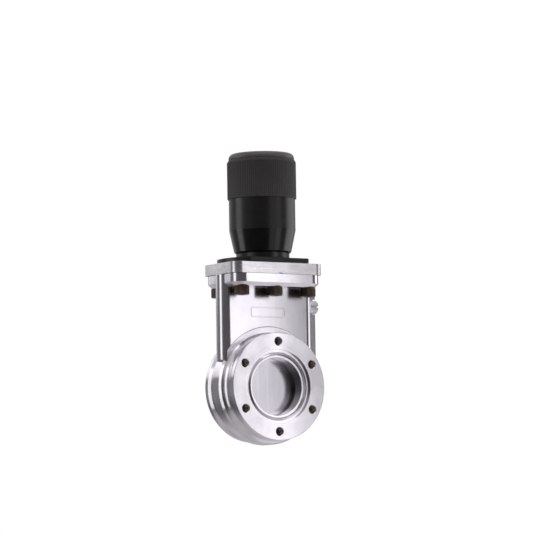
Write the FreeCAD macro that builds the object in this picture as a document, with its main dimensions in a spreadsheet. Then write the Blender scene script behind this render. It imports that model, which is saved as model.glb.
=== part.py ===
import FreeCAD, Part
import math
import os
import Sketcher

# Manual high-vacuum gate valve, DN 40, with knife-edge flanges. Millimetres.
# Origin: centre of the bore, midway between the flange faces.
# +Z runs up the stem, -Y points out of the front flange, X runs across.
# The gate is drawn closed, with its two plates spread against the seats.

V = FreeCAD.Vector

SIZES = {
    # flanges and housing ring
    "flange_r": 35.0,
    "half_face": 17.5,
    "rim_chamfer": 0.3,
    "rim_back_y": 14.1,
    "rim_foot_r": 33.8,
    "rim_foot_y": 12.0,
    "groove_arc_r": 6.3,
    "shoulder_r": 35.8,
    "shoulder_y": 5.6,
    "ring_edge_r": 36.4,
    "ring_edge_y": 5.1,
    "ring_r": 37.4,
    "ring_flat_y": 3.4,
    "bore_r": 19.0,
    "recess_r": 24.15,
    "recess_depth": 1.9,
    "knife_r": 20.95,
    "knife_depth": 1.1,
    "knife_foot_r": 22.3,
    "knife_root_r": 20.2,
    "knife_root_depth": 2.6,
    "bolt_circle_r": 29.35,
    "bolt_hole_r": 2.6,
    "bolt_hole_depth": 7.6,
    "bolt_chamfer": 0.45,
    "spot_face_r": 39.7,
    "spot_face_half": 5.7,
    "spot_face_cove": 0.6,
    "side_trim_angle": 53.6,
    "panel_x": -1.0,
    "panel_z": 49.0,
    "panel_half_w": 13.0,
    "panel_half_h": 3.4,
    "panel_r": 1.6,
    "panel_line": 0.7,
    "panel_depth": 0.2,
    "mark_x": 31.9,
    "mark_r": 0.65,
    "mark_depth": 0.3,
    # neck and chamber
    "neck_flat": 29.1,
    "neck_half": 6.3,
    "neck_top": 73.0,
    "chamber_half_w": 27.7,
    "chamber_half_t": 4.5,
    "side_pad_x": 38.2,
    "side_pad_half": 2.5,
    "side_pad_bottom": 8.0,
    "purge_z": 53.7,
    "purge_seat_x": 36.3,
    "purge_seat_r": 5.4,
    "purge_boss_r": 4.9,
    "purge_thread_r": 3.0,
    "purge_head_r": 4.35,
    "purge_head_len": 3.0,
    "purge_gasket_t": 0.4,
    # body plate and bonnet plate
    "bars_half_w": 33.0,
    "plate_half_d": 20.9,
    "bars_bottom": 65.0,
    "bars_corner_r": 8.0,
    "bars_bevel": 2.4,
    "seal_groove_depth": 0.5,
    "seal_flat": 24.0,
    "seal_out_r": 8.6,
    "seal_in_r": 6.9,
    "bonnet_half_w": 34.1,
    "bonnet_bottom": 73.15,
    "bonnet_top": 80.4,
    "bonnet_corner_r": 6.0,
    "screw_pitch": 25.4,
    "screw_row_y": 14.3,
    "screw_head_r": 5.0,
    "screw_head_h": 6.0,
    "screw_shank_r": 3.0,
    "screw_hole_r": 3.3,
    "screw_tap_r": 3.02,
    "screw_tip_z": 78.6,
    "socket_af": 5.0,
    "socket_depth": 3.2,
    "bush_r": 6.4,
    "bush_bore_r": 4.15,
    "bush_top": 78.0,
    "collar_recess_r": 11.2,
    "collar_r": 11.15,
    "collar_bore_r": 5.6,
    "collar_t": 1.6,
    "notch_half": 2.2,
    "notch_h": 0.6,
    "notch_depth": 1.4,
    # base flange and actuator tube
    "base_r": 30.0,
    "base_flat_y": 20.5,
    "base_top": 83.7,
    "base_screw_x": 23.6,
    "base_screw_y": 9.0,
    "base_screw_r": 2.0,
    "base_head_r": 3.6,
    "base_head_h": 2.0,
    "tube_foot_r": 17.4,
    "tube_foot_top": 87.4,
    "tube_r": 16.4,
    "tube_bore_r": 12.6,
    "tube_top": 141.2,
    "guide_slot_w": 2.12,
    "guide_slot_low": 92.2,
    "guide_slot_high": 139.4,
    # bearing and carrier
    "carrier_top": 146.2,
    "carrier_lip_r": 6.4,
    "carrier_lip_t": 1.0,
    "bearing_outer_r": 7.5,
    "bearing_outer_in": 6.3,
    "bearing_inner_out": 5.2,
    "bearing_inner_in": 4.0,
    "bearing_w": 3.0,
    "bearing_ball_r": 0.78,
    "race_r": 0.82,
    "clip_r": 7.9,
    "clip_in": 6.7,
    "clip_t": 0.6,
    "carrier_screw_xy": 10.25,
    "carrier_screw_r": 1.0,
    "carrier_head_r": 1.7,
    "carrier_head_h": 1.6,
    "carrier_screw_len": 9.0,
    # handwheel
    "hw_bottom": 87.9,
    "hw_bottom_r": 18.7,
    "hw_cone_top": 102.6,
    "hw_r": 21.7,
    "hw_bore_r": 17.3,
    "grip_bottom": 123.3,
    "grip_seat_r": 20.0,
    "grip_r": 22.6,
    "grip_bevel_z": 147.4,
    "grip_top": 149.3,
    "grip_top_r": 21.5,
    "web_bottom": 146.8,
    "web_top": 149.0,
    "cap_bottom": 149.45,
    "cap_top": 153.4,
    "cap_r": 21.5,
    "cap_round": 3.4,
    "cap_spigot_r": 19.9,
    "cap_cavity_r": 9.0,
    "cap_cavity_top": 152.0,
    # lead screw and its fastening
    "lead_r": 2.6,
    "lead_tip": 84.0,
    "thrust_r": 5.1,
    "thrust_bottom": 141.4,
    "journal_r": 3.98,
    "hub_bore_r": 4.02,
    "key_w": 2.0,
    "key_out_x": 5.6,
    "stud_r": 2.5,
    "stud_top": 151.6,
    "washer_r": 6.0,
    "washer_t": 0.5,
    "nut_af": 8.0,
    "nut_h": 2.0,
    # stem and travelling nut
    "stem_r": 4.1,
    "stem_bottom": 22.9,
    "stem_shoulder": 80.2,
    "stem_head_r": 5.4,
    "stem_top": 92.6,
    "stem_bore_r": 3.2,
    "stem_bore_bottom": 38.0,
    "nut_seat_r": 4.4,
    "nut_seat_z": 84.6,
    "nut_body_r": 4.38,
    "nut_bore_r": 2.65,
    "nut_flange_r": 11.8,
    "nut_top": 95.0,
    "guide_pin_r": 1.0,
    "guide_pin_z": 93.8,
    "guide_pin_in": 7.0,
    "guide_pin_out": 15.6,
    "upper_collar_z": 90.8,
    "fork_slot_top": 29.0,
    "tongue_half_t": 0.8,
    "fork_gap": 0.03,
    "cross_pin_z": 26.0,
    "cross_pin_r": 1.3,
    # bellows
    "bellows_in": 6.1,
    "bellows_out": 10.6,
    "bellows_weld": 1.3,
    # gate
    "plate_r": 22.5,
    "plate_out_y": 4.2,
    "plate_in_y": 2.0,
    "seat_rim_y": 4.45,
    "seal_r": 20.75,
    "seal_section_r": 0.85,
    "seal_y": 3.67,
    "carriage_r": 21.0,
    "ear_x": 24.4,
    "ear_low": 1.6,
    "ear_high": 10.4,
    "tongue_half_w": 3.9,
    "tongue_top": 28.4,
    "lock_ball_r": 1.97,
    "ball_hole_r": 2.0,
    "ramp_r": 2.02,
    "lock_travel_y": 0.6,
    "lock_travel_z": 3.0,
    "ball_x": 11.0,
    "ball_z": 9.5,
    "spring_t": 0.25,
    "spring_half_w": 2.0,
    "spring_len": 26.0,
    "rivet_r": 1.1,
    "rivet_head_r": 1.8,
    "rivet_head_t": 0.25,
    "rivet_z": 9.0,
    "relief_half_w": 2.5,
    "relief_depth": 0.3,
    "pad_x": 27.4,
    "pad_half_t": 3.0,
    "pad_low": 1.2,
    "pad_high": 10.8,
}
BOLT_COUNT = 6
BEARING_BALL_COUNT = 10
BELLOWS_FOLDS = 12


class Size:
    """A value together with the spreadsheet formula that gives it."""

    def __init__(self, value, formula):
        self.value = float(value)
        self.formula = formula

    def combined(self, other, sign, result):
        return Size(result, "(%s %s %s)" % (self.formula, sign, other.formula))

    def __add__(self, other):
        other = as_size(other)
        return self.combined(other, "+", self.value + other.value)

    def __sub__(self, other):
        other = as_size(other)
        return self.combined(other, "-", self.value - other.value)

    def __mul__(self, other):
        other = as_size(other)
        return self.combined(other, "*", self.value * other.value)

    def __neg__(self):
        return Size(-self.value, "(0 - %s)" % self.formula)


def as_size(item):
    if isinstance(item, Size):
        return item
    return Size(item, repr(float(item)))


doc = FreeCAD.newDocument("gate_valve")
sheet = doc.addObject("Spreadsheet::Sheet", "Sheet")
s = {}
for row, (alias, number) in enumerate(SIZES.items(), start=1):
    sheet.set("A%d" % row, alias)
    sheet.set("B%d" % row, repr(number))
    sheet.setAlias("B%d" % row, alias)
    s[alias] = Size(number, "Sheet." + alias)
doc.recompute()

parts = {}


def bind(obj, prop, size):
    """Set a property and tie it to its formula."""
    size = as_size(size)
    obj.setExpression(prop, size.formula)


def place(obj, x=0.0, y=0.0, z=0.0, axis=None, angle=0.0):
    """Placement with its base tied to the sheet."""
    x, y, z = as_size(x), as_size(y), as_size(z)
    turn = FreeCAD.Rotation(axis or V(0, 0, 1), angle)
    obj.Placement = FreeCAD.Placement(V(x.value, y.value, z.value), turn)
    for name, size in (("x", x), ("y", y), ("z", z)):
        bind(obj, "Placement.Base." + name, size)


def keep(obj, node):
    """Mark an object as one of the pieces that are written out."""
    obj.Label = node
    parts[node] = obj
    return obj


# ---------------------------------------------------------------- PartDesign helpers

def new_body(node):
    body = doc.addObject("PartDesign::Body", "Body_" + node)
    return keep(body, node)


def origin_plane(body, role):
    return [item for item in body.Origin.OriginFeatures if item.Role == role][0]


def new_sketch(body, name, role, offset=None):
    sketch = body.newObject("Sketcher::SketchObject", name)
    sketch.AttachmentSupport = (origin_plane(body, role), [""])
    sketch.MapMode = "FlatFace"
    if offset is not None:
        bind(sketch, "AttachmentOffset.Base.z", offset)
    return sketch


def fix_point(sketch, geo, pos, x, y):
    """Hold one sketch point at a distance from the sketch origin."""
    for kind, size in (("DistanceX", x), ("DistanceY", y)):
        size = as_size(size)
        index = sketch.addConstraint(Sketcher.Constraint(kind, -1, 1, geo, pos, size.value))
        sketch.setExpression("Constraints[%d]" % index, size.formula)


def fix_radius(sketch, geo, radius):
    index = sketch.addConstraint(Sketcher.Constraint("Radius", geo, radius.value))
    sketch.setExpression("Constraints[%d]" % index, radius.formula)


def arc_between(start, end, radius, side):
    """Minor arc from start to end, centre on the left (1) or right (-1) of the chord."""
    chord = end - start
    middle = (start + end) * 0.5
    normal = V(-chord.y, chord.x, 0).normalize()
    height = math.sqrt(max(radius ** 2 - (chord.Length / 2) ** 2, 0))
    centre = middle + normal * (side * height)
    circle = Part.Circle(centre, V(0, 0, 1), radius)
    first = math.atan2(start.y - centre.y, start.x - centre.x)
    last = math.atan2(end.y - centre.y, end.x - centre.x)
    if side > 0:
        return Part.ArcOfCircle(circle, first, last), 1, 2
    return Part.ArcOfCircle(circle, last, first), 2, 1


def outline(sketch, corners):
    """Closed outline. A corner is (x, y), or (x, y, radius, side) when an arc leaves it."""
    base = sketch.GeometryCount
    points = [V(as_size(c[0]).value, as_size(c[1]).value, 0) for c in corners]
    ends = []
    for index, corner in enumerate(corners):
        start, end = points[index], points[(index + 1) % len(points)]
        if len(corner) == 4:
            curve, first, last = arc_between(start, end, as_size(corner[2]).value, corner[3])
        else:
            curve, first, last = Part.LineSegment(start, end), 1, 2
        sketch.addGeometry(curve, False)
        ends.append((first, last))
    count = len(corners)
    for index in range(count):
        follower = (index + 1) % count
        sketch.addConstraint(Sketcher.Constraint(
            "Coincident", base + index, ends[index][1], base + follower, ends[follower][0]))
    for index, corner in enumerate(corners):
        fix_point(sketch, base + index, ends[index][0], corner[0], corner[1])
        if len(corner) == 4:
            fix_radius(sketch, base + index, as_size(corner[2]))


def rounded_rect(sketch, half_w, half_h, radius, x=0.0, y=0.0):
    """Rectangle with round corners, centred on (x, y)."""
    x, y = as_size(x), as_size(y)
    low_x, high_x, low_y, high_y = x - half_w, x + half_w, y - half_h, y + half_h
    r = radius
    outline(sketch, [
        (high_x - r, low_y, r, 1), (high_x, low_y + r), (high_x, high_y - r, r, 1),
        (high_x - r, high_y), (low_x + r, high_y, r, 1), (low_x, high_y - r),
        (low_x, low_y + r, r, 1), (low_x + r, low_y),
    ])


def ring_circle(sketch, x, y, radius):
    centre = V(as_size(x).value, as_size(y).value, 0)
    geo = sketch.addGeometry(Part.Circle(centre, V(0, 0, 1), radius.value), False)
    fix_point(sketch, geo, 3, x, y)
    fix_radius(sketch, geo, radius)


def four_holes(sketch, x, y, radius):
    for x_side in (-1.0, 1.0):
        for y_side in (-1.0, 1.0):
            ring_circle(sketch, x * x_side, y * y_side, radius)


def bonnet_screw_holes(sketch, radius):
    """Three holes in a row on each side of the neck."""
    for column in (-1.0, 0.0, 1.0):
        for side in (-1.0, 1.0):
            ring_circle(sketch, s["screw_pitch"] * column, s["screw_row_y"] * side, radius)


def obround(sketch, half_flat, radius):
    """Two half circles joined by straight sides, long way along the sketch's x."""
    half_turn = math.pi / 2
    a, r = half_flat.value, radius.value
    right = sketch.addGeometry(Part.ArcOfCircle(
        Part.Circle(V(a, 0, 0), V(0, 0, 1), r), -half_turn, half_turn), False)
    top = sketch.addGeometry(Part.LineSegment(V(a, r, 0), V(-a, r, 0)), False)
    left = sketch.addGeometry(Part.ArcOfCircle(
        Part.Circle(V(-a, 0, 0), V(0, 0, 1), r), half_turn, 3 * half_turn), False)
    low = sketch.addGeometry(Part.LineSegment(V(-a, -r, 0), V(a, -r, 0)), False)
    for first, second in ((right, top), (top, left), (left, low), (low, right)):
        sketch.addConstraint(Sketcher.Constraint("Tangent", first, 2, second, 1))
    fix_point(sketch, right, 3, half_flat, 0.0)
    fix_point(sketch, left, 3, -half_flat, 0.0)
    fix_radius(sketch, right, radius)


def revolve(body, kind, name, sketch, angle=None):
    feature = body.newObject("PartDesign::" + kind, name)
    feature.Profile = sketch
    feature.ReferenceAxis = (sketch, ["V_Axis"])
    if angle is None:
        feature.Angle = 360
    else:
        feature.Midplane = True
        bind(feature, "Angle", angle)
    sketch.Visibility = False
    return feature


def extrude(body, kind, name, sketch, length, symmetric=False, reverse=False):
    feature = body.newObject("PartDesign::" + kind, name)
    feature.Profile = sketch
    bind(feature, "Length", length)
    if symmetric:
        feature.SideType = "Symmetric"
    feature.Reversed = reverse
    sketch.Visibility = False
    return feature


def polar(body, name, feature, role, count):
    pattern = body.newObject("PartDesign::PolarPattern", name)
    pattern.Originals = [feature]
    axis = [item for item in body.Origin.OriginFeatures if item.Role == role][0]
    pattern.Axis = (axis, [""])
    pattern.Angle = 360
    pattern.Occurrences = count
    body.Tip = pattern
    return pattern


def edges_where(shape, test):
    return ["Edge%d" % (i + 1) for i, edge in enumerate(shape.Edges) if test(edge)]


def dress(body, kind, name, prop, size, test):
    """Fillet or chamfer the tip's edges that pass a test."""
    doc.recompute()
    tip = body.Tip
    feature = body.newObject("PartDesign::" + kind, name)
    feature.Base = (tip, edges_where(tip.Shape, test))
    bind(feature, prop, size)
    return feature


def turned(node, corners, role="XZ_Plane"):
    """A piece turned about Z from a (radius, z) outline, or about Y from (radius, y)."""
    body = new_body(node)
    sketch = new_sketch(body, "Profile_" + node, role)
    outline(sketch, corners)
    revolve(body, "Revolution", "Turn_" + node, sketch)
    return body


def ring_corners(r_in, r_out, low, high):
    return [(r_in, low), (r_out, low), (r_out, high), (r_in, high)]


# ---------------------------------------------------------------- Part helpers

def cylinder(name, radius, height, x=0.0, y=0.0, z=0.0, axis=None, angle=0.0):
    item = doc.addObject("Part::Cylinder", name)
    bind(item, "Radius", radius)
    bind(item, "Height", height)
    place(item, x, y, z, axis, angle)
    return item


def sphere(name, radius, x=0.0, y=0.0, z=0.0):
    item = doc.addObject("Part::Sphere", name)
    bind(item, "Radius", radius)
    place(item, x, y, z)
    return item


def block(name, low, high):
    """Box between two corners."""
    low = [as_size(v) for v in low]
    high = [as_size(v) for v in high]
    item = doc.addObject("Part::Box", name)
    for prop, a, b in zip(("Length", "Width", "Height"), low, high):
        bind(item, prop, b - a)
    place(item, *low)
    return item


def hexagon(name, across_flats, height, x=0.0, y=0.0, z=0.0):
    item = doc.addObject("Part::Prism", name)
    item.Polygon = 6
    bind(item, "Circumradius", across_flats * (1 / math.sqrt(3)))
    bind(item, "Height", height)
    place(item, x, y, z)
    return item


def cut(name, base, tool):
    item = doc.addObject("Part::Cut", name)
    item.Base = base
    item.Tool = tool
    return item


def fuse(name, items):
    item = doc.addObject("Part::MultiFuse", name)
    item.Shapes = items
    return item


def group(node, items):
    item = doc.addObject("Part::Compound", "Group_" + node)
    item.Links = items
    return keep(item, node)


# ================================================================ fixed pieces

def make_valve_body():
    body = new_body("valve_body")

    # obround neck, spot-faced around both flanges and trimmed where the ring passes its sides
    sketch = new_sketch(body, "NeckSection", "XY_Plane")
    obround(sketch, s["neck_flat"], s["neck_half"])
    extrude(body, "Pad", "Neck", sketch, s["neck_top"])

    spot_r, spot_y, cove = s["spot_face_r"], s["spot_face_half"], s["spot_face_cove"]
    outside = s["neck_half"] + 2.0
    sketch = new_sketch(body, "SpotFaceProfile", "XY_Plane")
    outline(sketch, [(0.0, spot_y), (spot_r - cove, spot_y, cove, 1),
                     (spot_r, spot_y + cove), (spot_r, outside), (0.0, outside)])
    outline(sketch, [(0.0, -outside), (spot_r, -outside), (spot_r, -spot_y - cove, cove, 1),
                     (spot_r - cove, -spot_y), (0.0, -spot_y)])
    revolve(body, "Groove", "SpotFaces", sketch)

    for label, sign in (("Right", 1.0), ("Left", -1.0)):
        sketch = new_sketch(body, "TrimProfile" + label, "XY_Plane")
        inner = s["ring_r"] - 4.0
        outline(sketch, [(inner * sign, -outside), (spot_r * sign, -outside),
                         (spot_r * sign, outside), (inner * sign, outside)])
        revolve(body, "Groove", "SideTrim" + label, sketch, s["side_trim_angle"])

    # housing ring with both flange rims and the turned grooves between them
    sketch = new_sketch(body, "RingProfile", "XY_Plane")
    face, rim = s["half_face"], s["flange_r"]
    outline(sketch, [
        (0.0, -face),
        (rim - s["rim_chamfer"], -face),
        (rim, -face + s["rim_chamfer"]),
        (rim, -s["rim_back_y"]),
        (s["rim_foot_r"], -s["rim_foot_y"], s["groove_arc_r"], -1),
        (s["shoulder_r"], -s["shoulder_y"]),
        (s["ring_edge_r"], -s["ring_edge_y"]),
        (s["ring_r"], -s["ring_flat_y"]),
        (s["ring_r"], s["ring_flat_y"]),
        (s["ring_edge_r"], s["ring_edge_y"]),
        (s["shoulder_r"], s["shoulder_y"], s["groove_arc_r"], -1),
        (s["rim_foot_r"], s["rim_foot_y"]),
        (rim, s["rim_back_y"]),
        (rim, face - s["rim_chamfer"]),
        (rim - s["rim_chamfer"], face),
        (0.0, face),
    ])
    revolve(body, "Revolution", "Ring", sketch)

    # body plate around the top of the neck
    sketch = new_sketch(body, "BarsSection", "XY_Plane", s["bars_bottom"])
    rounded_rect(sketch, s["bars_half_w"], s["plate_half_d"], s["bars_corner_r"])
    extrude(body, "Pad", "Bars", sketch, s["neck_top"] - s["bars_bottom"])
    low = SIZES["bars_bottom"]

    def bar_bottom_edge(edge):
        box = edge.BoundBox
        outside = max(abs(box.YMin), abs(box.YMax)) > SIZES["neck_half"] + 1.0
        return abs(box.ZMin - low) < 1e-4 and abs(box.ZMax - low) < 1e-4 and outside

    dress(body, "Chamfer", "BarsBevel", "Size", s["bars_bevel"], bar_bottom_edge)

    # pad with the purge port on the right side
    sketch = new_sketch(body, "SidePadSection", "XY_Plane", s["side_pad_bottom"])
    t = s["side_pad_half"]
    outline(sketch, [(s["neck_flat"], -t), (s["side_pad_x"], -t), (s["side_pad_x"], t),
                     (s["neck_flat"], t)])
    extrude(body, "Pad", "SidePad", sketch, s["bars_bottom"] - s["side_pad_bottom"] + 1.0)
    sketch = new_sketch(body, "PurgeBossSection", "YZ_Plane", s["neck_flat"])
    ring_circle(sketch, 0.0, s["purge_z"], s["purge_boss_r"])
    extrude(body, "Pad", "PurgeBoss", sketch, s["purge_seat_x"] - s["neck_flat"])
    sketch = new_sketch(body, "PurgeSeatSection", "YZ_Plane", s["purge_seat_x"])
    ring_circle(sketch, 0.0, s["purge_z"], s["purge_seat_r"])
    extrude(body, "Pocket", "PurgeSeat", sketch, as_size(6.0), reverse=True)

    # chamber for the gate
    width, thick = s["chamber_half_w"], s["chamber_half_t"]
    sketch = new_sketch(body, "ChamberRound", "XZ_Plane")
    ring_circle(sketch, 0.0, 0.0, width)
    extrude(body, "Pocket", "ChamberLow", sketch, thick * 2, symmetric=True)
    sketch = new_sketch(body, "ChamberFlat", "XZ_Plane")
    top = s["neck_top"] + 2.0
    outline(sketch, [(-width, 0.0), (width, 0.0), (width, top), (-width, top)])
    extrude(body, "Pocket", "ChamberHigh", sketch, thick * 2, symmetric=True)

    # bore, gasket recesses and knife edges
    sketch = new_sketch(body, "BoreProfile", "XY_Plane")
    right = [
        (s["recess_r"], face + 1.0),
        (s["recess_r"], face - s["recess_depth"]),
        (s["knife_foot_r"], face - s["recess_depth"]),
        (s["knife_r"], face - s["knife_depth"]),
        (s["knife_root_r"], face - s["knife_root_depth"]),
        (s["bore_r"], face - s["knife_root_depth"]),
    ]
    mirrored = [(r_, -y_) for r_, y_ in reversed(right)]
    outline(sketch, [(0.0, face + 1.0)] + right + mirrored + [(0.0, -face - 1.0)])
    revolve(body, "Groove", "Bore", sketch)

    # tapped flange holes
    for label, sign in (("Front", -1.0), ("Rear", 1.0)):
        sketch = new_sketch(body, "HoleProfile" + label, "YZ_Plane")
        hole, chamfer, depth = s["bolt_hole_r"], s["bolt_chamfer"], s["bolt_hole_depth"]
        centre = s["bolt_circle_r"]
        outline(sketch, [
            (face * sign, centre),
            (face * sign, centre + hole + chamfer),
            ((face - chamfer) * sign, centre + hole),
            ((face - depth) * sign, centre + hole),
            ((face - depth - 1.2) * sign, centre),
        ])
        axis_line = sketch.addGeometry(Part.LineSegment(
            V(-30, centre.value, 0), V(30, centre.value, 0)), True)
        fix_point(sketch, axis_line, 1, -30.0, centre)
        fix_point(sketch, axis_line, 2, 30.0, centre)
        feature = body.newObject("PartDesign::Groove", "Hole" + label)
        feature.Profile = sketch
        feature.ReferenceAxis = (sketch, ["Axis0"])
        feature.Angle = 360
        sketch.Visibility = False
        polar(body, "Holes" + label, feature, "Y_Axis", BOLT_COUNT)

    # clearance holes of the bonnet screws
    sketch = new_sketch(body, "ScrewHoles", "XY_Plane", s["bars_bottom"] - 1.0)
    bonnet_screw_holes(sketch, s["screw_hole_r"])
    extrude(body, "Pocket", "ScrewBores", sketch, as_size(10.0), reverse=True)

    # groove of the bonnet seal
    sketch = new_sketch(body, "SealGroove", "XY_Plane", s["neck_top"])
    obround(sketch, s["seal_flat"], s["seal_out_r"] + 0.15)
    obround(sketch, s["seal_flat"], s["seal_in_r"] - 0.15)
    extrude(body, "Pocket", "SealSeat", sketch, s["seal_groove_depth"])

    # engraved outline of a blank label panel on the front of the neck
    sketch = new_sketch(body, "PanelOutline", "XZ_Plane", s["neck_half"])
    half_w, half_h, line = s["panel_half_w"], s["panel_half_h"], s["panel_line"]
    rounded_rect(sketch, half_w, half_h, s["panel_r"], s["panel_x"], s["panel_z"])
    rounded_rect(sketch, half_w - line, half_h - line, s["panel_r"] - line,
                 s["panel_x"], s["panel_z"])
    extrude(body, "Pocket", "PanelGroove", sketch, s["panel_depth"])

    # index mark beside the rim of the front flange
    sketch = new_sketch(body, "IndexMark", "XZ_Plane", face)
    ring_circle(sketch, s["mark_x"], 0.0, s["mark_r"])
    extrude(body, "Pocket", "IndexDimple", sketch, s["mark_depth"])

    # thread of the purge port
    sketch = new_sketch(body, "PurgeHole", "YZ_Plane", s["purge_seat_x"])
    ring_circle(sketch, 0.0, s["purge_z"], s["purge_thread_r"] + 0.02)
    extrude(body, "Pocket", "PurgeBore", sketch, as_size(10.0))


make_valve_body()

# purge plug: slotted round head and threaded shank, lying along X
plug_head_x = s["purge_seat_x"] + s["purge_gasket_t"]
head = cylinder("PlugHead", s["purge_head_r"], s["purge_head_len"],
                plug_head_x, 0.0, s["purge_z"], V(0, 1, 0), 90)
shank = cylinder("PlugShank", s["purge_thread_r"], as_size(7.4),
                 plug_head_x - 7.4, 0.0, s["purge_z"], V(0, 1, 0), 90)
slot = block("PlugSlot",
             (plug_head_x + s["purge_head_len"] - 1.2, -6.0, s["purge_z"] - 0.5),
             (plug_head_x + s["purge_head_len"] + 1.0, 6.0, s["purge_z"] + 0.5))
solid = fuse("PlugSolid", [head, shank])
keep(cut("PlugSlotted", solid, slot), "purge_plug")

ring_out = cylinder("PlugRingOut", s["purge_head_r"], s["purge_gasket_t"],
                    s["purge_seat_x"], 0.0, s["purge_z"], V(0, 1, 0), 90)
ring_in = cylinder("PlugRingIn", s["purge_thread_r"] + 0.02, s["purge_gasket_t"] + 2.0,
                   s["purge_seat_x"] - 1.0, 0.0, s["purge_z"], V(0, 1, 0), 90)
keep(cut("PlugRing", ring_out, ring_in), "purge_gasket")

# bonnet seal: flat obround ring, nipped between body and bonnet
body = new_body("bonnet_gasket")
sketch = new_sketch(body, "SealSection", "XY_Plane", s["neck_top"] - s["seal_groove_depth"])
obround(sketch, s["seal_flat"], s["seal_out_r"])
obround(sketch, s["seal_flat"], s["seal_in_r"])
extrude(body, "Pad", "SealRing", sketch,
        s["bonnet_bottom"] - s["neck_top"] + s["seal_groove_depth"])


def make_bonnet_plate():
    body = new_body("bonnet_plate")
    sketch = new_sketch(body, "BonnetSection", "XY_Plane", s["bonnet_bottom"])
    rounded_rect(sketch, s["bonnet_half_w"], s["plate_half_d"], s["bonnet_corner_r"])
    extrude(body, "Pad", "BonnetBlock", sketch, s["bonnet_top"] - s["bonnet_bottom"])
    sketch = new_sketch(body, "BonnetBore", "XZ_Plane")
    outline(sketch, [
        (0.0, s["bonnet_bottom"] - 1.0), (s["bush_r"], s["bonnet_bottom"] - 1.0),
        (s["bush_r"], s["bush_top"]), (s["collar_recess_r"], s["bush_top"]),
        (s["collar_recess_r"], s["bonnet_top"] + 1.0), (0.0, s["bonnet_top"] + 1.0),
    ])
    revolve(body, "Groove", "BonnetBoreCut", sketch)
    sketch = new_sketch(body, "TappedHoles", "XY_Plane", s["bonnet_bottom"])
    bonnet_screw_holes(sketch, s["screw_tap_r"])
    extrude(body, "Pocket", "TappedBores", sketch,
            s["screw_tip_z"] - s["bonnet_bottom"] + 0.4, reverse=True)
    sketch = new_sketch(body, "BaseScrewHoles", "XY_Plane", s["bonnet_top"])
    four_holes(sketch, s["base_screw_x"], s["base_screw_y"], s["base_screw_r"] + 0.02)
    extrude(body, "Pocket", "BaseScrewBores", sketch, as_size(5.2))
    # shallow pry slots at the joint, front and back
    sketch = new_sketch(body, "PrySlot", "XZ_Plane", s["plate_half_d"] - s["notch_depth"])
    z, h = s["bonnet_bottom"], s["notch_h"]
    n = s["notch_half"]
    outline(sketch, [(-n, z - 1.0), (n, z - 1.0), (n, z), (n * 0.5, z + h),
                     (-n * 0.5, z + h), (-n, z)])
    extrude(body, "Pocket", "PrySlotCut", sketch, as_size(4.0), reverse=True)


make_bonnet_plate()


def socket_screw(name, x, y, z_head, head_r, head_h, shank_r, shank_len, socket, depth,
                 upward=True):
    """Socket head screw. Upward: the shank points up from a head that starts at z_head."""
    tag = name + "_"
    head = cylinder(tag + "head", head_r, head_h, x, y, z_head)
    if upward:
        shank = cylinder(tag + "shank", shank_r, shank_len, x, y, z_head + head_h)
        hexa = hexagon(tag + "hex", socket, depth + 1.0, x, y, z_head - 1.0)
    else:
        shank = cylinder(tag + "shank", shank_r, shank_len, x, y, z_head - shank_len)
        hexa = hexagon(tag + "hex", socket, depth + 1.0, x, y, z_head + head_h - depth)
    return cut(tag + "screw", fuse(tag + "solid", [head, shank]), hexa)


def screw_group(node, tag, x, y, z_head, head_r, head_h, shank_r, shank_len, socket, depth):
    """Four screws at the corners of a rectangle, pointing down."""
    items = []
    for x_side in (-1.0, 1.0):
        for y_side in (-1.0, 1.0):
            items.append(socket_screw(
                "%s%d%d" % (tag, x_side + 2, y_side + 2), x * x_side, y * y_side, z_head,
                head_r, head_h, shank_r, shank_len, socket, depth, upward=False))
    group(node, items)


screws = []
for column in (-1.0, 0.0, 1.0):
    for side in (-1.0, 1.0):
        screws.append(socket_screw(
            "Bonnet%d%d" % (column + 2, side + 2),
            s["screw_pitch"] * column, s["screw_row_y"] * side,
            s["bars_bottom"] - s["screw_head_h"], s["screw_head_r"], s["screw_head_h"],
            s["screw_shank_r"], s["screw_tip_z"] - s["bars_bottom"],
            s["socket_af"], s["socket_depth"]))
group("bonnet_screws", screws)

turned("guide_bush", ring_corners(s["bush_bore_r"], s["bush_r"] - 0.02,
                                  s["bonnet_bottom"], s["bush_top"]))
turned("bellows_lower_collar", ring_corners(
    s["collar_bore_r"], s["collar_r"], s["bush_top"], s["bush_top"] + s["collar_t"]))

# black base flange: disc with two flats and four counterbored holes
body = new_body("base_flange")
sketch = new_sketch(body, "BaseProfile", "XZ_Plane")
outline(sketch, ring_corners(s["tube_bore_r"], s["base_r"], s["bonnet_top"], s["base_top"]))
revolve(body, "Revolution", "BaseDisc", sketch)
for label, sign in (("Front", -1.0), ("Rear", 1.0)):
    sketch = new_sketch(body, "BaseFlat" + label, "XY_Plane", s["base_top"] + 1.0)
    outline(sketch, [(-40.0, s["base_flat_y"] * sign), (40.0, s["base_flat_y"] * sign),
                     (40.0, 40.0 * sign), (-40.0, 40.0 * sign)])
    extrude(body, "Pocket", "BaseFlatCut" + label, sketch, as_size(6.0))
for label, radius, depth in (
        ("Shank", s["base_screw_r"] + 0.2, as_size(6.0)),
        ("Head", s["base_head_r"] + 0.2, s["base_head_h"] + 0.2)):
    sketch = new_sketch(body, "Base%sHoles" % label, "XY_Plane", s["base_top"])
    four_holes(sketch, s["base_screw_x"], s["base_screw_y"], radius)
    extrude(body, "Pocket", "Base%sCut" % label, sketch, depth)
screw_group("base_screws", "Base", s["base_screw_x"], s["base_screw_y"],
            s["base_top"] - s["base_head_h"] - 0.2, s["base_head_r"], s["base_head_h"],
            s["base_screw_r"], as_size(6.0), as_size(2.5), as_size(1.2))

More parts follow.
